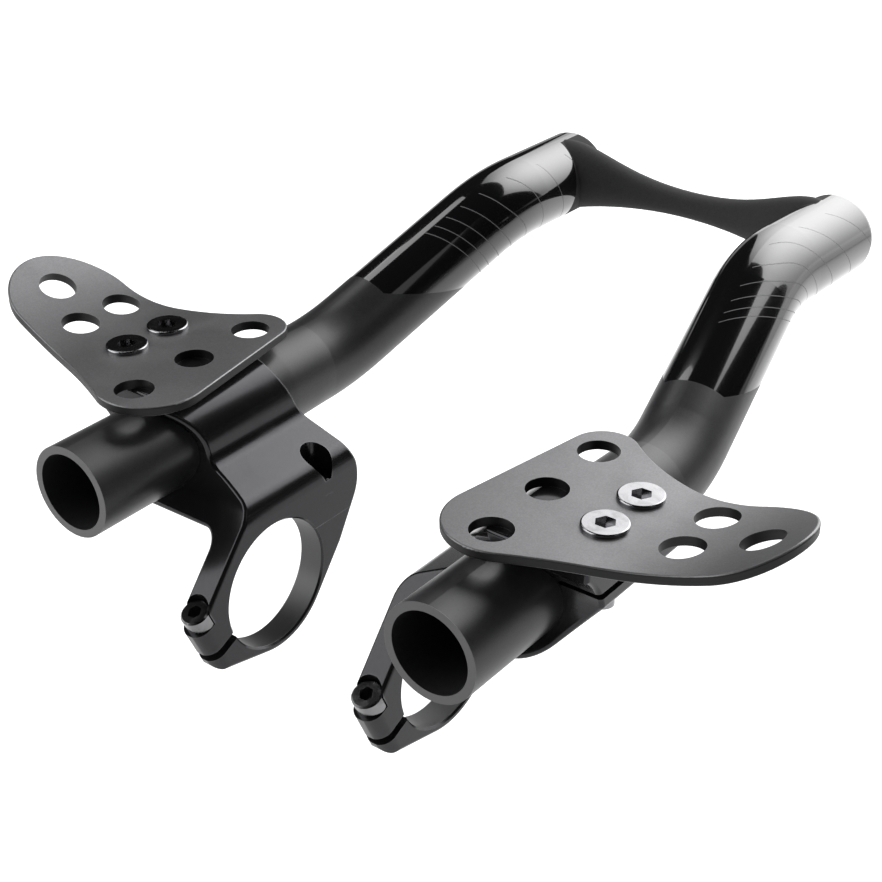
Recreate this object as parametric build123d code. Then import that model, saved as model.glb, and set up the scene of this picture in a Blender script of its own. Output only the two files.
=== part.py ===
from build123d import *
import math
import os

# Lengths are in millimetres and angles in degrees.
# X points to the rider's right, Y forward and Z up; the origin lies on the axis of the
# handlebar clamp, midway between the two brackets.

# Handlebar clamp ring
BAR_DIAMETER = 31.8
RING_CENTRE_X = 25.0
RING_WIDTH = 7.2
RING_WALL = 2.0
RING_CHAMFER = 0.5
RIM_ROUND = 1.0

# Socket cap bolts that close the clamp ring
CLAMP_BOLT_DIAMETER = 4.0
CLAMP_BOLT_LENGTH = 14.0
CLAMP_HEAD_DIAMETER = 7.0
CLAMP_HEAD_HEIGHT = 4.0
CLAMP_HEX = 3.0
CLAMP_HEX_DEPTH = 2.2
REAR_BOLT_MARGIN = 4.1
FRONT_BOLT_MARGIN = 3.5
HOLE_CLEARANCE = 0.2
THREAD_CLEARANCE = 0.05
COUNTERBORE_CLEARANCE = 0.25
THREAD_RUN_OUT = 0.5

# Rear joint of the ring, an open slot on a leaning plane
SLOT_LEAN = 24.0
SLOT_HEIGHT = 0.4
SLOT_GAP = 2.4
REAR_SEAT_HEIGHT = 8.8
LUG_RADIUS = 4.3
LUG_LOW = -1.8
NOSE_OFFSET = 0.8

# Front joint of the ring, closed flush and level
FRONT_JOINT_Z = 8.0
FRONT_SEAT_Z = 15.0
FRONT_LUG_Z = 2.5

# Extension tubes
TUBE_X = 50.0
TUBE_DIAMETER = 22.2
FRONT_TAPER = 0.9
TUBE_WALL = 1.9
TUBE_REAR_Y = -33.7
TAPER_START_Y = 29.3
BEND_START_Y = 44.1
BEND_LEAN = 23.3
BEND_ANGLE = 23.0
FRONT_DROOP = 1.8
BEND_UP_RADIUS = 46.0
RAMP_LENGTH = 44.6
BEND_BACK_RADIUS = 44.6
FRONT_RUN = 30.0
TIP_ROUND = 3.0
TIP_WALL = 6.0

# Bridge between the tips
BRIDGE_MID_HEIGHT = 6.9
BRIDGE_MID_DEPTH = 8.5
BRIDGE_ROOT_DEPTH = 12.5
BRIDGE_ROOT_INSET = 2.4
BRIDGE_END_INSET = 0.3
BRIDGE_LIFT = 1.6
BRIDGE_SETBACK = 2.3

# Bracket sleeve and clamp ear
SLEEVE_WALL = 2.9
SLEEVE_CLEARANCE = 0.05
HANDLEBAR_GAP = 0.85
SHOULDER_DROP = 8.0
SHOULDER_SLOPE = 25.0
SHOULDER_ROUND = 6.5
NECK_FILLET = 5.0
WEB_FILLET = 3.5
EAR_REACH = 6.35
EAR_TANGENT_ANGLE = 40.0
EAR_ROUND = 1.5
PAD_INSET = 4.0
PAD_RISE = 0.85
SLIT_RISE = 5.6
SLIT_GAP = 1.6

# Bracket outline seen from the side
TOP_FRONT_Y = 20.8
TOP_REAR_Y = -10.7
FRONT_BULGE_MARGIN = 2.6
FRONT_BULGE_Z = 16.0
FRONT_BULGE_RADIUS = 12.0
SCOOP_Y = -17.9
SCOOP_MARGIN = 0.75
SCOOP_LEAN = 40.0
LIP_RISE = 5.2

# Armrest plate; its places are measured from midway between its two screws
PLATE_THICKNESS = 2.2
PLATE_EDGE = 0.4
CURL_START = 5.6
CURL_RADIUS = 64.0
REAR_LOBE = (-17.2, -15.6)
REAR_LOBE_RADIUS = 13.1
FRONT_LOBE = (-16.9, 19.0)
FRONT_LOBE_RADIUS = 7.7
OUTER_LOBE = (24.9, -0.3)
OUTER_LOBE_RADIUS = 15.2
FRONT_WAIST_RADIUS = 45.0
REAR_WAIST_RADIUS = 140.0
PLATE_HOLE_DIAMETER = 9.2
INNER_ROW = (-17.0, -1.7)
INNER_ROW_PITCH = 19.0
OUTER_PAIR = (16.7, 0.9)
TIP_HOLE = (30.4, -0.1)

# Screws that hold the plate and close the sleeve
EAR_SCREW_INSET = 4.0
PLATE_SCREW_Y = 7.9
PLATE_SCREW_PITCH = 13.2
PLATE_SCREW_DIAMETER = 5.0
PLATE_SCREW_LENGTH = 18.0
PLATE_HEAD_DIAMETER = 10.0
PLATE_HEAD_HEIGHT = 0.9
PLATE_HEAD_ROUND = 0.4
PLATE_HEX = 4.0
PLATE_HEX_DEPTH = 1.6

# Reach of cutting shapes that pass right through, and the least slant of an outline wall
THROUGH = 80.0
LEVEL = 0.001

bar_radius = BAR_DIAMETER / 2
rear_bolt_offset = bar_radius + REAR_BOLT_MARGIN
front_bolt_y = bar_radius + FRONT_BOLT_MARGIN
tube_radius = TUBE_DIAMETER / 2
front_radius = (TUBE_DIAMETER - FRONT_TAPER) / 2
bolt_radius = CLAMP_BOLT_DIAMETER / 2
screw_radius = PLATE_SCREW_DIAMETER / 2
sleeve_bore = tube_radius + SLEEVE_CLEARANCE
sleeve_radius = sleeve_bore + SLEEVE_WALL
tube_z = bar_radius + HANDLEBAR_GAP + sleeve_radius
ring_inner_x = RING_CENTRE_X - RING_WIDTH / 2
ring_outer_x = RING_CENTRE_X + RING_WIDTH / 2
ear_outer_x = TUBE_X + sleeve_radius + EAR_REACH
slit_z = tube_z + SLIT_RISE
pad_z = tube_z + sleeve_radius + PAD_RISE
plate_top_z = pad_z + PLATE_THICKNESS
plate_screw_x = ear_outer_x - EAR_SCREW_INSET
screw_steps = (-PLATE_SCREW_PITCH / 2, PLATE_SCREW_PITCH / 2)


def bend_plane():
    """Plane of the tube's bends: its x runs forward, its y up and inward."""
    lean = math.radians(BEND_LEAN)
    start = (TUBE_X, TUBE_REAR_Y, tube_z)
    return Plane(origin=start, x_dir=(0, 1, 0), z_dir=(math.cos(lean), 0, math.sin(lean)))


def bent_path(front_run):
    """Centre line from the start of the first bend to the end of the front run."""
    up = JernArc((BEND_START_Y - TUBE_REAR_Y, 0), (1, 0), BEND_UP_RADIUS, BEND_ANGLE)
    ramp = Line(up @ 1, up @ 1 + RAMP_LENGTH * (up % 1))
    back = JernArc(ramp @ 1, ramp % 1, BEND_BACK_RADIUS, -BEND_ANGLE - FRONT_DROOP)
    front = Line(back @ 1, back @ 1 + front_run * (back % 1))
    return bend_plane() * Wire([up, ramp, back, front])


def tube_rod(rear_radius, slim_radius, front_run):
    """Round rod along the tube: straight, tapering, then bent."""
    forward = Plane(origin=(TUBE_X, TUBE_REAR_Y, tube_z), z_dir=(0, 1, 0))
    straight = TAPER_START_Y - TUBE_REAR_Y
    taper = BEND_START_Y - TAPER_START_Y
    rod = forward * extrude(Circle(rear_radius), straight)
    cone = loft([Circle(rear_radius), Pos(0, 0, taper) * Circle(slim_radius)])
    rod += forward * Pos(0, 0, straight) * cone
    path = bent_path(front_run)
    section = Plane(origin=path @ 0, z_dir=path % 0) * Circle(slim_radius)
    return rod + sweep(section, path)


def outer_tube():
    """Tube filled solid, with its closed tip rounded."""
    rod = tube_rod(tube_radius, front_radius, FRONT_RUN)
    tip = rod.faces().sort_by(Axis.Y)[-1]
    return fillet(tip.edges(), TIP_ROUND)


def bridge():
    """Waisted cross bar between the tips, which rises to meet the top of each tube."""
    tip = bent_path(FRONT_RUN) @ 1
    front_y = tip.Y - BRIDGE_SETBACK
    root_x = tip.X - front_radius
    root_height = 2 * (front_radius - BRIDGE_ROOT_INSET)
    end_height = 2 * (front_radius - BRIDGE_END_INSET)
    stations = [(-tip.X, BRIDGE_ROOT_DEPTH, end_height, 0)]
    for share in (-1, -0.5, 0, 0.5, 1):
        growth = share**2
        depth = BRIDGE_MID_DEPTH + growth * (BRIDGE_ROOT_DEPTH - BRIDGE_MID_DEPTH)
        height = BRIDGE_MID_HEIGHT + growth * (root_height - BRIDGE_MID_HEIGHT)
        stations.append((share * root_x, depth, height, growth * BRIDGE_LIFT))
    stations.append((tip.X, BRIDGE_ROOT_DEPTH, end_height, 0))
    sections = []
    for x, depth, height, lift in stations:
        middle = (x, front_y - depth / 2, tip.Z + lift)
        across = Plane(origin=middle, x_dir=(0, 1, 0), z_dir=(1, 0, 0))
        sections.append(across * Ellipse(depth / 2, height / 2))
    return loft(sections)


def extension_bar():
    """Both tubes and the bridge, one moulded piece, hollow and open at the rear."""
    tube = outer_tube()
    bar = tube + mirror(tube, Plane.YZ) + bridge()
    hollow = tube_rod(tube_radius - TUBE_WALL, front_radius - TUBE_WALL, FRONT_RUN - TIP_WALL)
    return bar - hollow - mirror(hollow, Plane.YZ)


def lug_point(along, above):
    """Point in the side view, given along and above the leaning slot's plane."""
    lean = math.radians(SLOT_LEAN)
    return (
        along * math.cos(lean) - above * math.sin(lean),
        along * math.sin(lean) + above * math.cos(lean),
    )


def round_edge(centre, radius):
    """Full circle used as one corner of a hull."""
    return CenterArc(centre, radius, 0, 360)


def side_outline():
    """Bracket and cap together, seen from the rider's right."""
    corners = [
        round_edge((0, 0), bar_radius + RING_WALL),
        round_edge((bar_radius + FRONT_BULGE_MARGIN, FRONT_BULGE_Z), FRONT_BULGE_RADIUS),
        round_edge((front_bolt_y, FRONT_LUG_Z), LUG_RADIUS),
        round_edge(lug_point(-rear_bolt_offset, REAR_SEAT_HEIGHT), LUG_RADIUS),
        round_edge(lug_point(-rear_bolt_offset, LUG_LOW), LUG_RADIUS),
        Line((TOP_REAR_Y, pad_z), (TOP_FRONT_Y, pad_z)),
    ]
    lean = math.radians(SCOOP_LEAN)
    far = (SCOOP_Y - THROUGH * math.sin(lean), tube_z - THROUGH * math.cos(lean))
    radius = sleeve_radius - SCOOP_MARGIN
    scoop = make_hull([round_edge((SCOOP_Y, tube_z), radius), round_edge(far, radius)])
    lip_z = tube_z + LIP_RISE
    behind_lip = Pos(TOP_REAR_Y - THROUGH / 2, lip_z + THROUGH / 2) * Rectangle(THROUGH, THROUGH)
    return make_hull(corners) - scoop - behind_lip


def front_profile():
    """Bracket seen from behind: sleeve, clamp ear, shoulder and ring plate."""
    drop = TUBE_X - ring_inner_x
    slope = math.tan(math.radians(SHOULDER_SLOPE))
    corner_z = tube_z - SHOULDER_DROP
    web_z = tube_z - sleeve_radius
    neck = Polygon(
        (ring_inner_x, -THROUGH),
        (ring_outer_x, -THROUGH),
        (ring_outer_x, web_z),
        (TUBE_X, web_z),
        (TUBE_X, corner_z + drop * slope),
        (ring_inner_x, corner_z),
        align=None,
    )
    turn = math.radians(EAR_TANGENT_ANGLE)
    tangent_x = TUBE_X + sleeve_radius * math.cos(turn)
    tangent_z = tube_z - sleeve_radius * math.sin(turn)
    ear_low = tangent_z + (ear_outer_x - tangent_x) / math.tan(turn)
    ear = Polygon(
        (TUBE_X - PAD_INSET, pad_z),
        (TUBE_X, tube_z),
        (tangent_x, tangent_z),
        (ear_outer_x, ear_low),
        (ear_outer_x, pad_z),
        align=None,
    )
    neck = fillet(neck.vertices().sort_by_distance((ring_inner_x, corner_z))[0], SHOULDER_ROUND)
    neck = fillet(neck.vertices().sort_by_distance((ring_outer_x, web_z))[0], WEB_FILLET)
    ear = fillet(ear.vertices().sort_by_distance((ear_outer_x, ear_low))[0], EAR_ROUND)
    profile = neck + Pos(TUBE_X, tube_z) * Circle(sleeve_radius) + ear
    crook = (TUBE_X - sleeve_radius, corner_z + (drop - sleeve_radius) * slope)
    return fillet(profile.vertices().sort_by_distance(crook)[0], NECK_FILLET)


def rod_along(plane, radius, low, high):
    """Round rod on a plane's axis, from low to high along its normal."""
    return plane * Pos(0, 0, low) * extrude(Circle(radius), high - low)


def rear_bolt_plane():
    """Plane of the leaning slot at the rear clamp bolt; its normal is the bolt's axis."""
    lean = math.radians(SLOT_LEAN)
    y, z = lug_point(-rear_bolt_offset, 0)
    return Plane(
        origin=(RING_CENTRE_X, y, z),
        x_dir=(1, 0, 0),
        z_dir=(0, -math.sin(lean), math.cos(lean)),
    )


def front_bolt_plane():
    """Level plane at the front clamp bolt."""
    return Plane(origin=(RING_CENTRE_X, front_bolt_y, 0))


def below_joint(slot_edge):
    """All that lies under the ring's two joints, the rear one at the given slot edge."""
    far = lug_point(-THROUGH, slot_edge)
    region = Polygon(
        (0, FRONT_JOINT_Z),
        (THROUGH, FRONT_JOINT_Z),
        (THROUGH, -THROUGH),
        (far[0], -THROUGH),
        far,
        lug_point(0, slot_edge),
        align=None,
    )
    return extrude(Plane.YZ * region, THROUGH, both=True)


def rim_edges(solid):
    """Edges round a solid's outline walls, which are the faces not square to Y."""
    walls = [face for face in solid.faces() if abs(face.normal_at(0.3, 0.3).Y) > LEVEL]
    edges = [edge for wall in walls for edge in wall.edges()]
    return [edge for edge in edges if sum(edge.is_same(other) for other in edges) == 1]


def bar_hole():
    """Handlebar's room through the ring, with both mouths chamfered."""
    mouth = bar_radius + RING_CHAMFER
    along = Plane(origin=(RING_CENTRE_X, 0, 0), z_dir=(1, 0, 0))
    hole = along * Cylinder(bar_radius, RING_WIDTH)
    for side in (-1, 1):
        face = Plane(origin=(RING_CENTRE_X + side * RING_WIDTH / 2, 0, 0), z_dir=(side, 0, 0))
        hole += face * loft([Pos(0, 0, -RING_CHAMFER) * Circle(bar_radius), Circle(mouth)])
        hole += face * extrude(Circle(mouth), RING_WIDTH)
    return hole


def clamp_blank():
    """Bracket and cap in one, with the bar hole, before they are parted."""
    blank = extrude(Plane.YZ * side_outline(), ear_outer_x)
    blank &= extrude(Plane.XZ * front_profile(), THROUGH, both=True)
    blank = fillet(rim_edges(blank), RIM_ROUND)
    blank -= bar_hole()
    rear = rear_bolt_plane()
    nose = rear * Pos(0, -NOSE_OFFSET)
    beyond = nose * Pos(0, -THROUGH / 2) * Box(THROUGH, THROUGH, THROUGH)
    return blank - (beyond - nose * Cylinder(RING_WIDTH / 2, THROUGH))


def bracket(blank):
    """Upper body: tube sleeve with its slit ear, web and upper half of the clamp ring."""
    body = blank - below_joint(SLOT_HEIGHT + SLOT_GAP / 2)
    tube_axis = Plane(origin=(TUBE_X, 0, tube_z), z_dir=(0, 1, 0))
    body -= rod_along(tube_axis, sleeve_bore, -THROUGH, THROUGH)
    body -= Pos(TUBE_X + THROUGH / 2, 0, slit_z) * Box(THROUGH, THROUGH, SLIT_GAP)
    for step in screw_steps:
        screw_axis = Plane(origin=(plate_screw_x, PLATE_SCREW_Y + step, 0))
        body -= rod_along(screw_axis, screw_radius + HOLE_CLEARANCE, slit_z, THROUGH)
        body -= rod_along(screw_axis, screw_radius + THREAD_CLEARANCE, 0, slit_z)
    head_room = CLAMP_HEAD_DIAMETER / 2 + COUNTERBORE_CLEARANCE
    for plane, seat in ((rear_bolt_plane(), REAR_SEAT_HEIGHT), (front_bolt_plane(), FRONT_SEAT_Z)):
        body -= rod_along(plane, bolt_radius + HOLE_CLEARANCE, 0, seat)
        body -= rod_along(plane, head_room, seat, seat + THROUGH)
    return body


def bar_cap(blank):
    """Lower strap of the clamp ring, tapped right through behind and blind in front."""
    cap = blank & below_joint(SLOT_HEIGHT - SLOT_GAP / 2)
    thread = bolt_radius + THREAD_CLEARANCE
    blind_end = FRONT_SEAT_Z - CLAMP_BOLT_LENGTH - THREAD_RUN_OUT
    cap -= rod_along(rear_bolt_plane(), thread, -THROUGH, REAR_SEAT_HEIGHT)
    return cap - rod_along(front_bolt_plane(), thread, blind_end, FRONT_SEAT_Z)


def hex_socket(plane, across_flats, depth, top):
    """Hexagonal recess sunk from the top of a screw head."""
    hexagon = RegularPolygon(across_flats / 2, 6, major_radius=False)
    return plane * Pos(0, 0, top - depth) * extrude(hexagon, depth)


def clamp_bolt(plane, seat):
    """Socket cap bolt with its head resting on the given seat."""
    top = seat + CLAMP_HEAD_HEIGHT
    bolt = rod_along(plane, bolt_radius, seat - CLAMP_BOLT_LENGTH, seat)
    head = extrude(Circle(CLAMP_HEAD_DIAMETER / 2), CLAMP_HEAD_HEIGHT)
    head = chamfer(head.faces().sort_by(Axis.Z)[-1].edges(), CLAMP_HEAD_HEIGHT / 10)
    bolt += plane * Pos(0, 0, seat) * head
    return bolt - hex_socket(plane, CLAMP_HEX, CLAMP_HEX_DEPTH, top)


def plate_screw(step):
    """Flat-headed screw through the plate and the sleeve's ear, a step along the plate."""
    plane = Plane(origin=(plate_screw_x, PLATE_SCREW_Y + step, plate_top_z))
    screw = rod_along(plane, screw_radius, -PLATE_SCREW_LENGTH, 0)
    head = extrude(Circle(PLATE_HEAD_DIAMETER / 2), PLATE_HEAD_HEIGHT)
    head = fillet(head.faces().sort_by(Axis.Z)[-1].edges(), PLATE_HEAD_ROUND)
    screw += plane * head
    return screw - hex_socket(plane, PLATE_HEX, PLATE_HEX_DEPTH, PLATE_HEAD_HEIGHT)


def waist_centre(first, first_radius, second, second_radius, waist_radius, side):
    """Centre of the concave arc that touches two lobes from outside."""
    gap = Vector(*second) - Vector(*first)
    near = first_radius + waist_radius
    far = second_radius + waist_radius
    along = (gap.length**2 + near**2 - far**2) / (2 * gap.length)
    off = math.sqrt(near**2 - along**2)
    ahead = gap.normalized()
    return Vector(*first) + ahead * along + Vector(-ahead.Y, ahead.X) * (side * off)


def toward(centre, target, distance):
    """Point at a distance from a centre in the direction of a target."""
    centre = Vector(*centre)
    return centre + (Vector(*target) - centre).normalized() * distance


def plate_outline():
    """Plate seen from above: three lobes, one straight side and two waists."""
    front_waist = waist_centre(
        FRONT_LOBE, FRONT_LOBE_RADIUS, OUTER_LOBE, OUTER_LOBE_RADIUS, FRONT_WAIST_RADIUS, 1
    )
    rear_waist = waist_centre(
        REAR_LOBE, REAR_LOBE_RADIUS, OUTER_LOBE, OUTER_LOBE_RADIUS, REAR_WAIST_RADIUS, -1
    )
    span = Vector(*FRONT_LOBE) - Vector(*REAR_LOBE)
    lean = math.asin((REAR_LOBE_RADIUS - FRONT_LOBE_RADIUS) / span.length)
    inward = Vector(-span.Y, span.X).normalized()
    inward = inward.rotate(Axis.Z, -math.degrees(lean))
    side_rear = Vector(*REAR_LOBE) + inward * REAR_LOBE_RADIUS
    side_front = Vector(*FRONT_LOBE) + inward * FRONT_LOBE_RADIUS
    front_start = toward(FRONT_LOBE, front_waist, FRONT_LOBE_RADIUS)
    front_end = toward(OUTER_LOBE, front_waist, OUTER_LOBE_RADIUS)
    rear_start = toward(OUTER_LOBE, rear_waist, OUTER_LOBE_RADIUS)
    rear_end = toward(REAR_LOBE, rear_waist, REAR_LOBE_RADIUS)
    edges = [
        Line(side_rear, side_front),
        RadiusArc(side_front, front_start, FRONT_LOBE_RADIUS),
        RadiusArc(front_start, front_end, -FRONT_WAIST_RADIUS),
        ThreePointArc(front_end, Vector(*OUTER_LOBE) + Vector(OUTER_LOBE_RADIUS, 0), rear_start),
        RadiusArc(rear_start, rear_end, -REAR_WAIST_RADIUS),
        RadiusArc(rear_end, side_rear, REAR_LOBE_RADIUS),
    ]
    return make_face(Wire(edges))


def curled_sheet():
    """Plate's thickness seen from behind: level, then curling up at the outer end."""
    turn = 45
    level_top = Line((-THROUGH, plate_top_z), (CURL_START, plate_top_z))
    curl_top = JernArc(level_top @ 1, (1, 0), CURL_RADIUS, turn)
    curl_low = JernArc((CURL_START, pad_z), (1, 0), CURL_RADIUS + PLATE_THICKNESS, turn)
    level_low = Line((-THROUGH, pad_z), curl_low @ 0)
    ends = [Line(level_top @ 0, level_low @ 0), Line(curl_top @ 1, curl_low @ 1)]
    return make_face(Wire([level_top, curl_top, ends[1], curl_low, level_low, ends[0]]))


def armrest_plate():
    """Sheet plate with screw holes, free holes and an upturned outer end."""
    plate = extrude(plate_outline(), THROUGH * 2)
    plate &= extrude(Plane.XZ * curled_sheet(), THROUGH, both=True)
    plate = fillet(rim_edges(plate), PLATE_EDGE)
    free_holes = [(INNER_ROW[0], INNER_ROW[1] + row * INNER_ROW_PITCH) for row in (-1, 0, 1)]
    free_holes += [(OUTER_PAIR[0], OUTER_PAIR[1] + step) for step in screw_steps]
    for x, y in free_holes:
        plate -= rod_along(Plane(origin=(x, y, 0)), PLATE_HOLE_DIAMETER / 2, 0, THROUGH)
    turn = math.asin((TIP_HOLE[0] - CURL_START) / CURL_RADIUS)
    tip_place = (*TIP_HOLE, plate_top_z + CURL_RADIUS * (1 - math.cos(turn)))
    tip_axis = Plane(origin=tip_place, z_dir=(-math.sin(turn), 0, math.cos(turn)))
    plate -= rod_along(tip_axis, PLATE_HOLE_DIAMETER / 2, -PLATE_HOLE_DIAMETER, PLATE_HOLE_DIAMETER)
    for step in screw_steps:
        plate -= rod_along(Plane(origin=(0, step, 0)), screw_radius + HOLE_CLEARANCE, 0, THROUGH)
    return Pos(plate_screw_x, PLATE_SCREW_Y) * plate


def right_side():
    """All pieces of the right-hand side by name."""
    blank = clamp_blank()
    return {
        "bracket": bracket(blank),
        "bar_cap": bar_cap(blank),
        "rear_clamp_bolt": clamp_bolt(rear_bolt_plane(), REAR_SEAT_HEIGHT),
        "front_clamp_bolt": clamp_bolt(front_bolt_plane(), FRONT_SEAT_Z),
        "armrest_plate": armrest_plate(),
        "plate_screw_rear": plate_screw(screw_steps[0]),
        "plate_screw_front": plate_screw(screw_steps[1]),
    }


os.makedirs("parts", exist_ok=True)
export_step(extension_bar(), "parts/extension_bar.step")
for name, shape in right_side().items():
    export_step(shape, f"parts/right_{name}.step")
    export_step(mirror(shape, Plane.YZ), f"parts/left_{name}.step")
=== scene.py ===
"""Studio picture of an aero handlebar extension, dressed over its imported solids.

Lengths are in metres in the row frame: X to the rider's right, Y forward and Z up.
Angles are in degrees, and a pair for the two tubes gives the left one first.
"""

import logging
import math
from dataclasses import dataclass
from enum import Enum

import bmesh
import bpy
from mathutils import Matrix, Vector


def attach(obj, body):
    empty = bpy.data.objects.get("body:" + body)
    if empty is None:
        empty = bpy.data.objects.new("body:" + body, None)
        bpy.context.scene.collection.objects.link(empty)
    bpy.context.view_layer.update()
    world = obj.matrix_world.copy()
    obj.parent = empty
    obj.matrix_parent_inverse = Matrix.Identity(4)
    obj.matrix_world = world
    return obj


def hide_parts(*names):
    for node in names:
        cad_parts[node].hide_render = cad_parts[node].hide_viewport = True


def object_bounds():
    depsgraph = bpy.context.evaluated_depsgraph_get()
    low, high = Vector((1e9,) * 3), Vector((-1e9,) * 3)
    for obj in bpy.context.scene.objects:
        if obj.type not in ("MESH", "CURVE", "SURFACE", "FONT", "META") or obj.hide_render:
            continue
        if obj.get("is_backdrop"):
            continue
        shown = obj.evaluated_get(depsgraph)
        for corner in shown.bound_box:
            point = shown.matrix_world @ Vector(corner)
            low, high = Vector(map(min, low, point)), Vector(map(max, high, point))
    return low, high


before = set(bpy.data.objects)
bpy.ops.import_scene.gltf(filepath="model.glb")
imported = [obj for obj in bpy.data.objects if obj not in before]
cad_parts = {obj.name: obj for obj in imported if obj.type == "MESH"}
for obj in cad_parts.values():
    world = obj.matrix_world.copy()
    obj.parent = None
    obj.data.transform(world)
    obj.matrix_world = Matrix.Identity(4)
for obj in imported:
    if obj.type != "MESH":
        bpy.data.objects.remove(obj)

LOG = logging.getLogger("aero_bar")
MM = 0.001
WHITE = (1.0, 1.0, 1.0, 1.0)
WHOLE = (0.0, 1.0)
SIDE_SIGNS = (-1.0, 1.0)

# Places of the colour sockets among a Mix node's inputs and outputs
MIX_COLOURS = (6, 7)
MIX_RESULT = 2

Socket = bpy.types.NodeSocket
Number = float | Socket
Span = tuple[Number, Number]
Range = tuple[float, float]
Colour = tuple[float, float, float]
Paint = Colour | Socket


class Side(Enum):
    """The rider's two sides; the value starts the names of that side's pieces."""

    LEFT = "left"
    RIGHT = "right"

    @property
    def sign(self) -> int:
        """Gives the sign of X on this side."""
        return 1 if self is Side.RIGHT else -1


class Effect(Enum):
    """Shader node groups that several finishes share."""

    GRAIN = "fine_grain"
    EDGE_WEAR = "edge_wear"
    HANDLING = "handling_marks"


class NodeSheet:
    """Adds and links nodes in one node tree."""

    def __init__(self, tree: bpy.types.NodeTree) -> None:
        """Keeps the tree that the nodes go into."""
        self.tree = tree

    def add(self, kind: str, **settings: object) -> bpy.types.Node:
        """Adds a node.

        Args:
            kind: Blender's name for the type of node.
            settings: the node's own properties by name.

        Returns:
            The new node.
        """
        node = self.tree.nodes.new(kind)
        for name, value in settings.items():
            setattr(node, name, value)
        return node

    def feed(self, socket: Socket, value: object) -> None:
        """Links a socket to another one, or sets its plain value.

        Args:
            socket: the input to fill.
            value: an output socket, or a number, colour or vector.
        """
        if isinstance(value, Socket):
            self.tree.links.new(value, socket)
        else:
            socket.default_value = value

    def math(self, operation: str, *values: Number) -> Socket:
        """Works out one number from others.

        Args:
            operation: the Math node's operation.
            values: sockets or numbers, in the node's order.

        Returns:
            The socket with the result.
        """
        node = self.add("ShaderNodeMath", operation=operation)
        for socket, value in zip(node.inputs, values):
            self.feed(socket, value)
        return node.outputs[0]

    def total(self, start: float, *terms: tuple[float, Number]) -> Socket:
        """Adds up weighted values.

        Args:
            start: a number to begin with.
            terms: pairs of a weight and a value.

        Returns:
            The socket with the sum.
        """
        result = start
        for weight, value in terms:
            result = self.math("MULTIPLY_ADD", value, weight, result)
        return result

    def hypot(self, first: Number, second: Number) -> Socket:
        """Gives the long side of a right-angled triangle from the two short ones."""
        squares = self.math("MULTIPLY", second, second)
        return self.math("SQRT", self.math("MULTIPLY_ADD", first, first, squares))

    def span(self, value: Number, given: Span, wanted: Span = WHOLE) -> Socket:
        """Maps a number smoothly from one range to another and stops at its ends.

        Args:
            value: the number to map.
            given: where the first range starts and ends.
            wanted: the results at those two ends.

        Returns:
            The socket with the mapped number.
        """
        node = self.add("ShaderNodeMapRange", interpolation_type="SMOOTHSTEP")
        for socket, number in zip(node.inputs, (value, *given, *wanted)):
            self.feed(socket, number)
        return node.outputs[0]

    def blend(self, share: Number, first: Paint, second: Paint) -> Socket:
        """Mixes two colours.

        Args:
            share: how much of the second colour shows, from 0 to 1.
            first: a colour socket or three numbers.
            second: a colour socket or three numbers.

        Returns:
            The socket with the mixed colour.
        """
        node = self.add("ShaderNodeMix", data_type="RGBA")
        self.feed(node.inputs["Factor"], share)
        for index, paint in zip(MIX_COLOURS, (first, second)):
            self.feed(node.inputs[index], paint if isinstance(paint, Socket) else (*paint, 1.0))
        return node.outputs[MIX_RESULT]

    def row_place(self) -> Socket:
        """Gives a point's place in the row frame as one vector."""
        return self.add("ShaderNodeTexCoord").outputs["Object"]

    def parts(self, vector: Socket) -> dict[str, Socket]:
        """Splits a vector.

        Args:
            vector: the socket with the vector.

        Returns:
            Its X, Y and Z as sockets by name.
        """
        node = self.add("ShaderNodeSeparateXYZ")
        self.feed(node.inputs[0], vector)
        return {name: node.outputs[name] for name in "XYZ"}

    def noise(self, scale: Number, detail: float, twist: float = 0.0) -> Socket:
        """Gives random patches that stay where they are on the object.

        Args:
            scale: how many patches lie in about a metre.
            detail: how many finer layers are added.
            twist: how much the patches are bent.

        Returns:
            The socket with a number from 0 to 1.
        """
        node = self.add("ShaderNodeTexNoise")
        self.feed(node.inputs["Vector"], self.row_place())
        self.feed(node.inputs["Scale"], scale)
        self.feed(node.inputs["Detail"], detail)
        self.feed(node.inputs["Distortion"], twist)
        return node.outputs["Fac"]

    def bump(self, height: Number, strength: float, depth: float) -> Socket:
        """Turns a height into a shading normal.

        Args:
            height: the height, about 0 to 1.
            strength: how much of the relief shows, from 0 to 1.
            depth: the length that a height of 1 stands for.

        Returns:
            The socket with the normal.
        """
        node = self.add("ShaderNodeBump")
        self.feed(node.inputs["Strength"], strength)
        self.feed(node.inputs["Distance"], depth)
        self.feed(node.inputs["Height"], height)
        return node.outputs["Normal"]

    def effect(self, effect: Effect, **values: float) -> Socket:
        """Places a shared effect with its own values.

        Args:
            effect: which node group to place.
            values: the group's inputs by name.

        Returns:
            The group's one output.
        """
        node = self.add("ShaderNodeGroup", node_tree=bpy.data.node_groups[effect.value])
        for name, value in values.items():
            self.feed(node.inputs[name], value)
        return node.outputs[0]


GroupParts = tuple[NodeSheet, dict[str, Socket], Socket]


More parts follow.
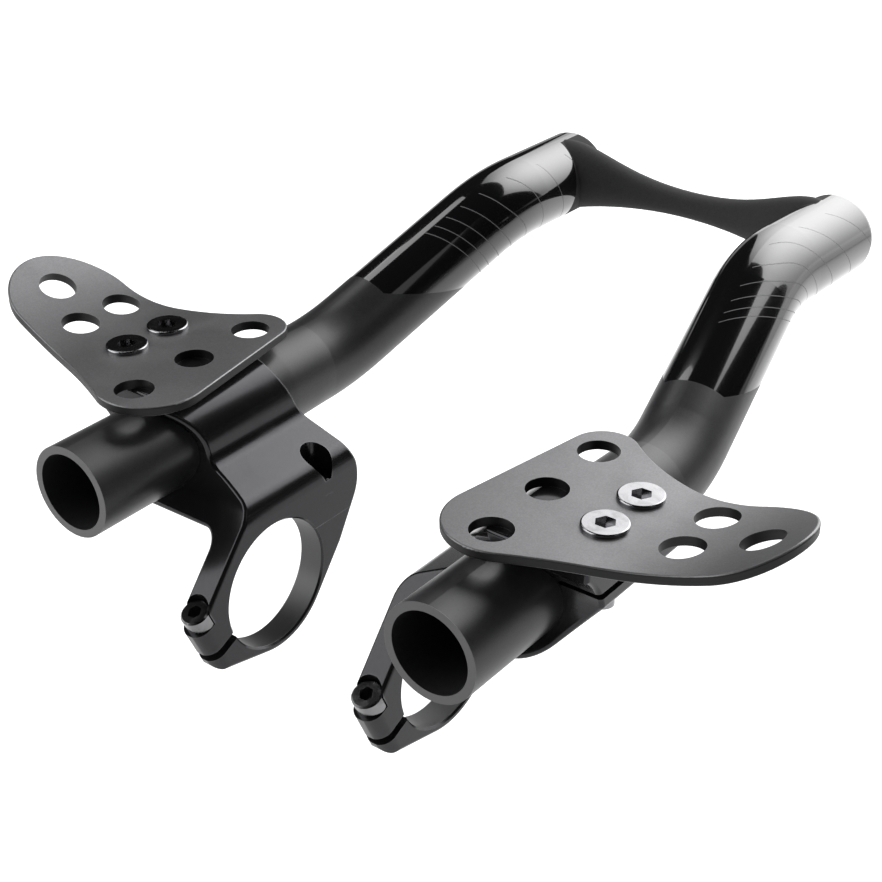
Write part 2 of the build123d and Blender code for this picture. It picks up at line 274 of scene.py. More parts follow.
@dataclass(frozen=True)
class EffectGroups:
    """Builds the shader node groups that the finishes share.

    Attributes:
        grain_sizes: the scales of the fine and the coarse grain, as shares of the one given.
        edge_facing: how well the rounded and the true normal agree where wear starts and is full.
        wear_patches: the noise levels between which worn patches turn from faint to full.
        wear_shares: how much of the wear shows at those two levels.
        smear_patches: the noise levels between which smears turn from none to full.
    """

    grain_sizes: Range = (1.0, 0.3)
    grain_detail: float = 3.0
    edge_samples: int = 6
    edge_facing: Range = (0.99, 0.8)
    wear_scale: float = 220.0
    wear_detail: float = 6.0
    wear_patches: Range = (0.35, 0.65)
    wear_shares: Range = (0.25, 1.0)
    smear_detail: float = 5.0
    smear_twist: float = 0.6
    smear_patches: Range = (0.4, 0.75)

    def build(self) -> None:
        """Builds every group once."""
        self.fine_grain()
        self.edge_wear()
        self.handling_marks()

    def start(self, effect: Effect, inputs: tuple[str, ...], output: str) -> GroupParts:
        """Starts a group with its sockets.

        Args:
            effect: the group to make.
            inputs: the names of its inputs, which are numbers.
            output: the name of its one output.

        Returns:
            The node sheet, the given values by name and the socket for the result.
        """
        tree = bpy.data.node_groups.new(effect.value, "ShaderNodeTree")
        for name in inputs:
            tree.interface.new_socket(name, in_out="INPUT", socket_type="NodeSocketFloat")
        tree.interface.new_socket(output, in_out="OUTPUT", socket_type="NodeSocketFloat")
        sheet = NodeSheet(tree)
        given = sheet.add("NodeGroupInput").outputs
        result = sheet.add("NodeGroupOutput").inputs[output]
        return sheet, {name: given[name] for name in inputs}, result

    def fine_grain(self) -> None:
        """Blasted or moulded grain: two sizes of speckle as one height."""
        sheet, given, result = self.start(Effect.GRAIN, ("Scale", "Coarse"), "Height")
        fine, coarse = (
            sheet.noise(sheet.math("MULTIPLY", given["Scale"], size), self.grain_detail)
            for size in self.grain_sizes
        )
        sheet.feed(result, sheet.math("MULTIPLY_ADD", coarse, given["Coarse"], fine))

    def edge_wear(self) -> None:
        """Mask of edges rubbed bare, broken up so that no edge is worn evenly."""
        sheet, given, result = self.start(Effect.EDGE_WEAR, ("Width", "Amount"), "Mask")
        rounded = sheet.add("ShaderNodeBevel", samples=self.edge_samples)
        sheet.feed(rounded.inputs["Radius"], given["Width"])
        facing = sheet.add("ShaderNodeVectorMath", operation="DOT_PRODUCT")
        sheet.feed(facing.inputs[0], rounded.outputs["Normal"])
        sheet.feed(facing.inputs[1], sheet.add("ShaderNodeNewGeometry").outputs["Normal"])
        edge = sheet.span(facing.outputs["Value"], self.edge_facing)
        patches = sheet.noise(self.wear_scale, self.wear_detail)
        broken = sheet.span(patches, self.wear_patches, self.wear_shares)
        sheet.feed(result, sheet.math("MULTIPLY", sheet.math("MULTIPLY", edge, broken), given["Amount"]))

    def handling_marks(self) -> None:
        """Faint smears left by hands, as a mask of duller patches."""
        sheet, given, result = self.start(Effect.HANDLING, ("Scale",), "Mask")
        patches = sheet.noise(given["Scale"], self.smear_detail, self.smear_twist)
        sheet.feed(result, sheet.span(patches, self.smear_patches))


@dataclass(frozen=True)
class Finish:
    """A surface finish that dresses pieces with one material."""

    name: str

    def material(self) -> bpy.types.Material:
        """Gives the finish's material, made the first time it is asked for.

        Returns:
            The material.
        """
        name = f"{self.name}_finish"
        made = bpy.data.materials.get(name)
        if made is None:
            made = bpy.data.materials.new(name)
            made.use_nodes = True
            self.paint(NodeSheet(made.node_tree), made.node_tree.nodes["Principled BSDF"])
        return made

    def paint(self, sheet: NodeSheet, shader: bpy.types.Node) -> None:
        """Feeds the shader; each kind of finish has its own way."""
        raise NotImplementedError

    def dress(self, piece: bpy.types.Object) -> None:
        """Gives a piece this finish alone."""
        piece.data.materials.clear()
        piece.data.materials.append(self.material())


@dataclass(frozen=True)
class Speckle:
    """How a grain's high spots turn a colour paler."""

    paler: float
    high_spots: Range = (0.4, 0.9)

    def tint(self, sheet: NodeSheet, grain: Socket, colour: Colour) -> Socket:
        """Makes a colour paler on the high spots.

        Args:
            sheet: the material's node sheet.
            grain: the grain's height.
            colour: the plain colour.

        Returns:
            The socket with the speckled colour.
        """
        pale = tuple(self.paler * part for part in colour)
        return sheet.blend(sheet.span(grain, self.high_spots), colour, pale)


@dataclass(frozen=True)
class AnodisedFinish(Finish):
    """Blasted and anodised aluminium with one zone of its own, rubbed paler on its edges."""

    colour: Colour
    zone_colour: Colour
    bare_colour: Colour
    metallic: float
    roughness: Range
    zone_roughness: float
    grain_scale: float
    wear: float
    coarse_grain: float = 0.3
    grain_strength: float = 0.25
    grain_depth: float = 0.006 * MM
    worn_width: float = 0.35 * MM
    smear_scale: float = 55.0
    speckle: Speckle = Speckle(1.25)

    def zone_mask(self, sheet: NodeSheet) -> Socket:
        """Marks the zone; each kind of piece has its own."""
        raise NotImplementedError

    def paint(self, sheet: NodeSheet, shader: bpy.types.Node) -> None:
        """Feeds colour, roughness and grain to the shader.

        Args:
            sheet: the material's node sheet.
            shader: its Principled shader.
        """
        grain = sheet.effect(Effect.GRAIN, Scale=self.grain_scale, Coarse=self.coarse_grain)
        worn = sheet.effect(Effect.EDGE_WEAR, Width=self.worn_width, Amount=self.wear)
        smear = sheet.effect(Effect.HANDLING, Scale=self.smear_scale)
        zone = self.zone_mask(sheet)
        zoned = sheet.blend(zone, self.speckle.tint(sheet, grain, self.colour), self.zone_colour)
        sheet.feed(shader.inputs["Base Color"], sheet.blend(worn, zoned, self.bare_colour))
        smooth = sheet.span(smear, WHOLE, self.roughness)
        sheet.feed(shader.inputs["Roughness"], sheet.span(zone, WHOLE, (smooth, self.zone_roughness)))
        sheet.feed(shader.inputs["Metallic"], self.metallic)
        sheet.feed(shader.inputs["Normal"], sheet.bump(grain, self.grain_strength, self.grain_depth))


@dataclass(frozen=True)
class ClampFinish(AnodisedFinish):
    """Anodising of the clamps, duller and greyer in the bore that grips the handlebar."""

    bore_radius: float = 15.95 * MM

    def zone_mask(self, sheet: NodeSheet) -> Socket:
        """Marks what lies no further than the bore from the handlebar's axis."""
        place = sheet.parts(sheet.row_place())
        return sheet.math("LESS_THAN", sheet.hypot(place["Y"], place["Z"]), self.bore_radius)


@dataclass(frozen=True)
class PlateFinish(AnodisedFinish):
    """Anodising of the armrest plates, darker on their cut edges.

    Attributes:
        level_facing: the upright part of a face's normal where the dark starts and is full.
    """

    level_facing: Range = (0.6, 0.3)

    def zone_mask(self, sheet: NodeSheet) -> Socket:
        """Marks the faces that stand about upright, which are the cut edges."""
        facing = sheet.parts(sheet.add("ShaderNodeNewGeometry").outputs["Normal"])
        return sheet.span(sheet.math("ABSOLUTE", facing["Z"]), self.level_facing)


@dataclass(frozen=True)
class SteelFinish(Finish):
    """Turned steel of a screw, plain or blackened."""

    colour: Colour
    bare_colour: Colour
    roughness: Range
    wear: float
    smeared_share: float = 0.75
    grain_scale: float = 4200.0
    coarse_grain: float = 0.5
    grain_strength: float = 0.2
    grain_depth: float = 0.004 * MM
    worn_width: float = 0.25 * MM
    smear_scale: float = 260.0

    def paint(self, sheet: NodeSheet, shader: bpy.types.Node) -> None:
        """Feeds colour, roughness and fine tool marks to the shader.

        Args:
            sheet: the material's node sheet.
            shader: its Principled shader.
        """
        grain = sheet.effect(Effect.GRAIN, Scale=self.grain_scale, Coarse=self.coarse_grain)
        worn = sheet.effect(Effect.EDGE_WEAR, Width=self.worn_width, Amount=self.wear)
        smear = sheet.effect(Effect.HANDLING, Scale=self.smear_scale)
        dark = tuple(self.smeared_share * part for part in self.colour)
        mottled = sheet.blend(smear, self.colour, dark)
        sheet.feed(shader.inputs["Base Color"], sheet.blend(worn, mottled, self.bare_colour))
        sheet.feed(shader.inputs["Roughness"], sheet.span(smear, WHOLE, self.roughness))
        sheet.feed(shader.inputs["Metallic"], 1.0)
        sheet.feed(shader.inputs["Normal"], sheet.bump(grain, self.grain_strength, self.grain_depth))


@dataclass(frozen=True)
class TubePlace:
    """Where a point lies on its tube, as sockets.

    Attributes:
        y: how far it is ahead of the upper bend's corner.
        along: how far it is ahead of that corner along the ramp's axis.
        along_axis: the same, but along the tip's axis from the corner on.
        out: how far it lies outward from the leaning plane of the bend.
        above: how far it lies above the tip's axis in that plane.
        turn: the angle from the crest towards the rider's right, in radians.
        side: the sign of X.
    """

    y: Socket
    along: Socket
    along_axis: Socket
    out: Socket
    above: Socket
    turn: Socket
    side: Socket


@dataclass(frozen=True)
class TubeRun:
    """The bent axis of the extension tubes, which the bar's finish follows."""

    axis_x: float = 50.0 * MM
    axis_z: float = 30.8 * MM
    bend_lean: float = 23.3
    bend_angle: float = 23.0
    corner_y: float = 112.9 * MM
    corner_rise: float = 24.6 * MM
    corner_reach: float = 8.0 * MM
    rear_y: float = -33.7 * MM
    tip_radius: float = 10.65 * MM

    def follow(self, sheet: NodeSheet) -> TubePlace:
        """Works out where a point of either tube lies along and around its axis.

        Args:
            sheet: the material's node sheet.

        Returns:
            The point's place on its tube.
        """
        place = sheet.parts(sheet.row_place())
        lean = math.radians(self.bend_lean)
        bend = math.radians(self.bend_angle)
        x = sheet.math("SUBTRACT", sheet.math("ABSOLUTE", place["X"]), self.axis_x)
        y = sheet.math("SUBTRACT", place["Y"], self.corner_y)
        z = sheet.math("SUBTRACT", place["Z"], self.axis_z)
        out = sheet.total(0.0, (math.cos(lean), x), (math.sin(lean), z))
        above = sheet.total(-self.corner_rise, (-math.sin(lean), x), (math.cos(lean), z))
        along = sheet.total(0.0, (math.cos(bend), y), (math.sin(bend), above))
        ramp_height = sheet.total(0.0, (math.cos(bend), above), (-math.sin(bend), y))
        ahead = sheet.span(y, (-self.corner_reach, self.corner_reach))
        along_axis = sheet.math("MULTIPLY_ADD", ahead, sheet.math("SUBTRACT", y, along), along)
        height = sheet.math("MULTIPLY_ADD", ahead, sheet.math("SUBTRACT", above, ramp_height), ramp_height)
        side = sheet.math("SIGN", place["X"])
        turn = sheet.math("ARCTAN2", sheet.math("MULTIPLY", out, side), height)
        return TubePlace(y, along, along_axis, out, above, turn, side)


@dataclass(frozen=True)
class RingLines:
    """Thin lines round each tube's right flank, wider apart towards the tips.

    Attributes:
        start: where the first line would meet the crest, ahead of the bend's corner.
        pitch: the gap between the first two lines.
        growth: how many times wider each gap is than the one behind it.
        soft_edge: where a line's edge fades out and in, as shares of its width.
        sweep: how far ahead a line runs for each radian round the tube.
        rear_limits: the angles from the crest where the lines stop at the rear.
        front_limits: the same at the front.
        least_ratio: keeps the logarithm's argument above zero behind the first line.
        half_step: tells a whole count of lines from the next one.
    """

    start: Range = (-25.0 * MM, -31.0 * MM)
    pitch: float = 3.2 * MM
    growth: float = 1.25
    count: int = 9
    width: float = 0.22 * MM
    soft_edge: Range = (0.6, 0.4)
    sweep: Range = (4.0 * MM, 9.2 * MM)
    rear_limits: Range = (-14.0, 20.0)
    front_limits: Range = (10.0, 42.0)
    least_ratio: float = 0.1
    half_step: float = 0.5

    def by_side(self, sheet: NodeSheet, tube: TubePlace, values: Range) -> Socket:
        """Gives the first value on the left tube and the second on the right one."""
        return sheet.span(tube.side, SIDE_SIGNS, values)

    def limit(self, sheet: NodeSheet, tube: TubePlace) -> Socket:
        """Gives the angle from the crest where the lines stop, which shifts along the tube.

        Args:
            sheet: the material's node sheet.
            tube: where the point lies on its tube.

        Returns:
            The socket with the angle in radians.
        """
        reach = max(abs(start) for start in self.start)
        ends = []
        for limits in (self.rear_limits, self.front_limits):
            angles = tuple(math.radians(angle) for angle in limits)
            ends.append(self.by_side(sheet, tube, angles))
        return sheet.span(tube.along_axis, (-reach, reach), tuple(ends))

    def mask(self, sheet: NodeSheet, tube: TubePlace, tube_radius: float) -> Socket:
        """Marks the lines.

        Args:
            sheet: the material's node sheet.
            tube: where the point lies on its tube.
            tube_radius: the tube's outer radius.

        Returns:
            The socket with 1 on a line and 0 between lines.
        """
        spread = self.pitch / (self.growth - 1.0)
        start = self.by_side(sheet, tube, self.start)
        swing = sheet.math("MULTIPLY", self.by_side(sheet, tube, self.sweep), tube.turn)
        swept = sheet.total(spread, (1.0, tube.along_axis), (-1.0, start), (-1.0, swing))
        ratio = sheet.math("MAXIMUM", sheet.math("DIVIDE", swept, spread), self.least_ratio)
        passed = sheet.math("LOGARITHM", ratio, self.growth)
        nearest = sheet.math("ROUND", passed)
        offset = sheet.math("ABSOLUTE", sheet.math("SUBTRACT", passed, nearest))
        slant = math.hypot(1.0, max(self.sweep) / tube_radius)
        step = math.log(self.growth) / slant
        distance = sheet.math("MULTIPLY", sheet.math("MULTIPLY", offset, swept), step)
        line = sheet.span(distance, tuple(share * self.width for share in self.soft_edge))
        first = sheet.math("GREATER_THAN", nearest, -self.half_step)
        last = sheet.math("LESS_THAN", nearest, self.count - self.half_step)
        beside = sheet.math("GREATER_THAN", tube.turn, self.limit(sheet, tube))
        drawn = sheet.math("MULTIPLY", sheet.math("MULTIPLY", first, last), beside)
        return sheet.math("MULTIPLY", line, drawn)


@dataclass(frozen=True)
class MouldedBarFinish(Finish):
    """Black moulded composite: satin behind, clear-coated ahead, matt on the bridge.

    Attributes:
        gloss_start: where the coat starts along the ramp.
        gloss_low_edge: a point of the coat's lower edge, from the bend's corner forward and up.
        gloss_low_slope: how steeply that edge falls towards the front.
        bridge_start: where the bridge's rear edge crosses the plane of the bend.
        bridge_slope: how far ahead that edge runs for each unit outward.
        bridge_reach: how far outward of that plane the bridge goes.
        zone_edge: the short way over which one zone turns into the next.
    """

    colour: Colour
    deep_colour: Colour
    cut_colour: Colour
    line_colour: Colour
    satin_roughness: Range
    gloss_roughness: float
    coat_roughness: float
    matt_roughness: float
    run: TubeRun = TubeRun()
    lines: RingLines = RingLines()
    gloss_start: float = -46.9 * MM
    gloss_low_edge: Range = (-45.3 * MM, -9.1 * MM)
    gloss_low_slope: float = 0.23
    bridge_start: float = 26.6 * MM
    bridge_slope: float = 0.42
    bridge_reach: float = 2.7 * MM
    zone_edge: Range = (-0.05 * MM, 0.05 * MM)
    cut_end_depth: float = 0.1 * MM
    grain_scale: float = 2600.0
    coarse_grain: float = 0.4
    grain_strength: float = 0.2
    grain_depth: float = 0.01 * MM
    smear_scale: float = 35.0
    speckle: Speckle = Speckle(1.6)

    def gloss_mask(self, sheet: NodeSheet, tube: TubePlace) -> Socket:
        """Marks the clear-coated front, which starts at a ring and a slanting lower edge.

        Args:
            sheet: the material's node sheet.
            tube: where the point lies on its tube.

        Returns:
            The socket with 1 ahead of the edge and 0 behind it.
        """
        ahead = sheet.math("SUBTRACT", tube.along, self.gloss_start)
        lean = math.radians(self.run.bend_lean)
        level = sheet.total(0.0, (math.sin(lean), tube.out), (math.cos(lean), tube.above))
        rise = sheet.total(0.0, (1.0, level), (self.gloss_low_slope, tube.y))
        edge_y, edge_z = self.gloss_low_edge
        low = sheet.math("SUBTRACT", rise, self.gloss_low_slope * edge_y + edge_z)
        return sheet.span(sheet.math("MINIMUM", ahead, low), self.zone_edge)

    def bridge_mask(self, sheet: NodeSheet, tube: TubePlace) -> Socket:
        """Marks the bridge, whose rear edge slants over the tips' inner sides.

        Args:
            sheet: the material's node sheet.
            tube: where the point lies on its tube.

        Returns:
            The socket with 1 on the bridge and 0 on the tubes.
        """
        ahead = sheet.total(-self.bridge_start, (1.0, tube.y), (-self.bridge_slope, tube.out))
        inboard = sheet.math("SUBTRACT", self.bridge_reach, tube.out)
        return sheet.span(sheet.math("MINIMUM", ahead, inboard), self.zone_edge)

    def sawn_mask(self, sheet: NodeSheet, tube: TubePlace) -> Socket:
        """Marks the cut rear ends of the tubes."""
        end = self.run.rear_y - self.run.corner_y + self.cut_end_depth
        return sheet.math("LESS_THAN", tube.y, end)

    def paint(self, sheet: NodeSheet, shader: bpy.types.Node) -> None:
        """Feeds the zones to the shader.

        Args:
            sheet: the material's node sheet.
            shader: its Principled shader.
        """
        tube = self.run.follow(sheet)
        bridge = self.bridge_mask(sheet, tube)
        gloss = sheet.math("MULTIPLY", self.gloss_mask(sheet, tube), sheet.math("SUBTRACT", 1.0, bridge))
        line = sheet.math("MULTIPLY", self.lines.mask(sheet, tube, self.run.tip_radius), gloss)
        coat = sheet.math("SUBTRACT", gloss, line)
        grain = sheet.effect(Effect.GRAIN, Scale=self.grain_scale, Coarse=self.coarse_grain)
        smear = sheet.effect(Effect.HANDLING, Scale=self.smear_scale)
        speckled = self.speckle.tint(sheet, grain, self.colour)
        sawn = sheet.blend(self.sawn_mask(sheet, tube), speckled, self.cut_colour)
        clear = sheet.blend(gloss, sawn, self.deep_colour)
        sheet.feed(shader.inputs["Base Color"], sheet.blend(line, clear, self.line_colour))
        satin = sheet.span(smear, WHOLE, self.satin_roughness)
        dull = sheet.span(bridge, WHOLE, (satin, self.matt_roughness))
        sheet.feed(shader.inputs["Roughness"], sheet.span(coat, WHOLE, (dull, self.gloss_roughness)))
        sheet.feed(shader.inputs["Coat Weight"], coat)
        sheet.feed(shader.inputs["Coat Roughness"], self.coat_roughness)
        relief = sheet.math("MULTIPLY", grain, sheet.math("SUBTRACT", 1.0, gloss))
        sheet.feed(shader.inputs["Normal"], sheet.bump(relief, self.grain_strength, self.grain_depth))


BLACK_ANODISED = ClampFinish(
    name="black_anodised",
    colour=(0.034, 0.034, 0.036),
    zone_colour=(0.1, 0.1, 0.102),
    bare_colour=(0.3, 0.3, 0.31),
    metallic=0.8,
    roughness=(0.16, 0.22),
    zone_roughness=0.45,
    grain_scale=3600.0,
    wear=0.35,
)
GREY_ANODISED = PlateFinish(
    name="grey_anodised",
    colour=(0.155, 0.155, 0.159),
    zone_colour=(0.03, 0.03, 0.031),
    bare_colour=(0.5, 0.5, 0.51),
    metallic=0.85,
    roughness=(0.4, 0.47),
    zone_roughness=0.44,
    grain_scale=3000.0,
    wear=0.3,
)
BRIGHT_STEEL = SteelFinish(
    name="clamp_bolt_steel",
    colour=(0.24, 0.24, 0.245),
    bare_colour=(0.6, 0.6, 0.61),
    roughness=(0.18, 0.28),
    wear=0.8,
)
BLACK_STEEL = SteelFinish(
    name="sunk_bolt_steel",
    colour=(0.03, 0.03, 0.031),
    bare_colour=(0.2, 0.2, 0.205),
    roughness=(0.25, 0.35),
    wear=0.4,
)
DARK_STEEL = SteelFinish(
    name="plate_screw_steel",
    colour=(0.3, 0.3, 0.31),
    bare_colour=(0.55, 0.55, 0.56),
    roughness=(0.14, 0.2),
    wear=0.5,
)
MOULDED_BAR = MouldedBarFinish(
    name="moulded_bar",
    colour=(0.012, 0.012, 0.013),
    deep_colour=(0.004, 0.004, 0.0045),
    cut_colour=(0.09, 0.09, 0.092),
    line_colour=(0.1, 0.1, 0.102),
    satin_roughness=(0.34, 0.4),
    gloss_roughness=0.1,
    coat_roughness=0.02,
    matt_roughness=0.8,
)


@dataclass
class ExtensionBar:
    """The one-piece bar: two bent tubes and the bridge between their tips."""

    finish: MouldedBarFinish = MOULDED_BAR

    def dress(self) -> None:
        """Gives the bar its finish and reports it."""
        self.finish.dress(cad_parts["extension_bar"])
        LOG.info("dressed extension_bar")


def make_block(name: str, place: Matrix, size: Vector) -> bpy.types.Object:
    """Makes a block.

    Args:
        name: the block's name.
        place: where its middle lies and how it is turned.
        size: its three lengths.

    Returns:
        The block, not yet in the scene.
    """
    block = bmesh.new()
    bmesh.ops.create_cube(block, size=1.0, matrix=place @ Matrix.Diagonal((*size, 1.0)))
    mesh = bpy.data.meshes.new(name)
    block.to_mesh(mesh)
    block.free()
    return bpy.data.objects.new(name, mesh)


@dataclass(frozen=True)
class BoltSeat:
    """The flat under a rear clamp bolt's head, square to the leaning bolt."""

    axis_x: float = 25.0 * MM
    axis_reach: float = 20.0 * MM
    lean: float = 24.0
    height: float = 8.8 * MM
    opening: tuple[float, float, float] = (9.0 * MM, 12.0 * MM, 12.0 * MM)

    def room(self, side: Side) -> bpy.types.Object:
        """Makes the block to take out, so that the seat is open to the rear.

        Args:
            side: which bracket it is for.

        Returns:
            The block, not yet in the scene.
        """
        turn = math.radians(self.lean)
        foot = Vector((0.0, -math.cos(turn), -math.sin(turn))) * self.axis_reach
        foot.x = side.sign * self.axis_x
        size = Vector(self.opening)
        middle = Vector((0.0, -size.y / 2, self.height + size.z / 2))
        place = Matrix.Translation(foot) @ Matrix.Rotation(turn, 4, "X") @ Matrix.Translation(middle)
        return make_block("seat_room", place, size)


@dataclass(frozen=True)
class BoltPocket:
    """The deep pocket of a front clamp bolt, beside the ring's inner face."""

    axis_y: float = 19.4 * MM
    face_x: float = 21.4 * MM
    wall: float = 0.085 * MM
    recess: float = 0.005 * MM
    width: float = 3.0 * MM
    heights: Range = (14.8 * MM, 18.9 * MM)

    def side_wall(self, side: Side) -> bpy.types.Object:
        """Makes the thin wall to add, so that the pocket is closed towards the ring's face.

        Args:
            side: which bracket it is for.

        Returns:
            The wall, not yet in the scene.
        """
        low, high = self.heights
        x = side.sign * (self.face_x + self.recess + self.wall / 2)
        place = Matrix.Translation((x, self.axis_y, (low + high) / 2))
        return make_block("pocket_wall", place, Vector((self.wall, self.width, high - low)))


@dataclass
class SidePieces:
    """One side's group of pieces that are bolted together."""

    side: Side

    def finishes(self) -> dict[str, Finish]:
        """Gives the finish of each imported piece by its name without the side."""
        raise NotImplementedError

    def dress(self) -> None:
        """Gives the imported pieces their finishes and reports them."""
        for piece, finish in self.finishes().items():
            finish.dress(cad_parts[f"{self.side.value}_{piece}"])
            LOG.info("dressed %s_%s", self.side.value, piece)


@dataclass
class ClampBracket(SidePieces):
    """One side's bracket with its lower strap and two clamp bolts."""

    seat: BoltSeat = BoltSeat()
    pocket: BoltPocket = BoltPocket()
    body_finish: ClampFinish = BLACK_ANODISED
    rear_bolt_finish: SteelFinish = BRIGHT_STEEL
    front_bolt_finish: SteelFinish = BLACK_STEEL
    weld_distance: float = 0.0001 * MM
    sharp_angle: float = 25.0

    def welded_copy(self, node: bpy.types.Object) -> bpy.types.Object:
        """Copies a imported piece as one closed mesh.

        Args:
            node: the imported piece.

        Returns:
            The copy, in the scene.
        """
        skin = bmesh.new()
        skin.from_mesh(node.data)
        bmesh.ops.remove_doubles(skin, verts=skin.verts, dist=self.weld_distance)
        faces = [[corner.index for corner in face.verts] for face in skin.faces]
        mesh = bpy.data.meshes.new(f"{node.name}_body")
        mesh.from_pydata([corner.co for corner in skin.verts], [], faces)
        skin.free()
        copy = bpy.data.objects.new(f"{node.name}_body", mesh)
        bpy.context.scene.collection.objects.link(copy)
        return copy

    def reshape(self, piece: bpy.types.Object, blocks: dict[str, bpy.types.Object]) -> None:
        """Takes blocks out of a piece or adds them to it, then shades it evenly.

        Args:
            piece: the piece to change.
            blocks: the blocks by the boolean operation to do; they are deleted.
        """
        for operation, block in blocks.items():
            bpy.context.scene.collection.objects.link(block)
            change = piece.modifiers.new(operation, "BOOLEAN")
            change.operation = operation
            change.solver = "EXACT"
            change.object = block
        graph = bpy.context.evaluated_depsgraph_get()
        piece.data = bpy.data.meshes.new_from_object(piece.evaluated_get(graph))
        piece.modifiers.clear()
        for block in blocks.values():
            bpy.data.objects.remove(block)
        piece.data.shade_smooth()
        piece.data.set_sharp_from_angle(angle=math.radians(self.sharp_angle))
        piece.modifiers.new("even_shading", "WEIGHTED_NORMAL").keep_sharp = True

    def build_body(self) -> None:
        """Builds the body with the rear bolt's seat opened and the front bolt's pocket closed."""
        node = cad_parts[f"{self.side.value}_bracket"]
        body = self.welded_copy(node)
        blocks = {"DIFFERENCE": self.seat.room(self.side), "UNION": self.pocket.side_wall(self.side)}
        self.reshape(body, blocks)
        self.body_finish.dress(body)
        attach(body, "root")
        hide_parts(node.name)
        LOG.info("built %s", body.name)

    def finishes(self) -> dict[str, Finish]:
        """Gives the finishes of the strap and the bolts."""
        return {
            "bar_cap": self.body_finish,
            "rear_clamp_bolt": self.rear_bolt_finish,
            "front_clamp_bolt": self.front_bolt_finish,
        }


@dataclass
class Armrest(SidePieces):
    """One side's armrest plate with its two screws."""

    plate_finish: PlateFinish = GREY_ANODISED
    screw_finish: SteelFinish = DARK_STEEL

    def finishes(self) -> dict[str, Finish]:
        """Gives the finishes of the plate and its screws."""
        return {
            "armrest_plate": self.plate_finish,
            "plate_screw_rear": self.screw_finish,
            "plate_screw_front": self.screw_finish,
        }


@dataclass(frozen=True)
class Softbox:
    """A flat lamp, placed by where it stands as seen from the object.

    Attributes:
        azimuth: its direction from straight ahead towards the rider's right.
        elevation: its direction above level.
        lean: how far its face is turned down from upright.
        radiance: its brightness at the glow.
        glow: the brightest place, as shares of its width and height.
        glow_reach: how far from the glow it is dimmest, as a share of its size.
        edge_share: the share of its brightness there.
    """

    name: str
    azimuth: float
    elevation: float
    lean: float
    distance: float
    width: float
    height: float
    radiance: float
    glow: Range = (0.5, 0.5)
    glow_reach: float = 0.9
    edge_share: float = 1.0

    def direction(self, elevation: float) -> Vector:
        """Gives a direction at the lamp's azimuth.

        Args:
            elevation: how far it points above level.

        Returns:
            The direction, one metre long.
        """
        turn = math.radians(self.azimuth)
        rise = math.radians(elevation)
        return Vector((math.sin(turn) * math.cos(rise), math.cos(turn) * math.cos(rise), math.sin(rise)))

    def shade(self, data: bpy.types.AreaLight) -> None:
        """Makes the lamp dimmer away from its glow.

        Args:
            data: the lamp's data.
        """
        data.use_nodes = True
        sheet = NodeSheet(data.node_tree)
        away = sheet.add("ShaderNodeVectorMath", operation="DISTANCE")
        sheet.feed(away.inputs[0], sheet.add("ShaderNodeNewGeometry").outputs["Parametric"])
        sheet.feed(away.inputs[1], (*self.glow, 0.0))
        share = sheet.span(away.outputs["Value"], (0.0, self.glow_reach), (1.0, self.edge_share))
        sheet.feed(data.node_tree.nodes["Emission"].inputs["Strength"], share)

    def build(self, target: Vector) -> None:
        """Makes the lamp.

        Args:
            target: the point that it is placed around.
        """
        data = bpy.data.lights.new(self.name, "AREA")
        data.shape = "RECTANGLE"
        data.size = self.width
        data.size_y = self.height
        data.energy = self.radiance * math.pi * self.width * self.height
        self.shade(data)
        lamp = bpy.data.objects.new(self.name, data)
        lamp.location = target + self.direction(self.elevation) * self.distance
        lamp.rotation_euler = self.direction(self.lean).to_track_quat("Z", "Y").to_euler()
        lamp.visible_camera = False
        bpy.context.scene.collection.objects.link(lamp)
        LOG.info("placed lamp %s", self.name)


FRONT_SOFTBOX = Softbox(
    name="front_softbox",
    azimuth=2.0,
    elevation=27.0,
    lean=15.0,
    distance=0.7,
    width=1.09,
    height=1.24,
    radiance=5.3,
    glow=(0.43, 0.7),
    glow_reach=0.75,
    edge_share=0.1,
)
LEFT_STRIP = Softbox(
    name="left_strip",
    azimuth=-82.0,
    elevation=48.0,
    lean=48.0,
    distance=0.5,
    width=0.157,
    height=0.21,
    radiance=2.2,
)
RIGHT_STRIP = Softbox(
    name="right_strip",
    azimuth=97.0,
    elevation=40.0,
    lean=40.0,
    distance=0.7,
    width=0.22,
    height=0.3,
    radiance=0.45,
)
REAR_FILL = Softbox(
    name="rear_fill",
    azimuth=-138.0,
    elevation=24.0,
    lean=24.0,
    distance=0.8,
    width=0.7,
    height=0.8,
    radiance=2.6,
)


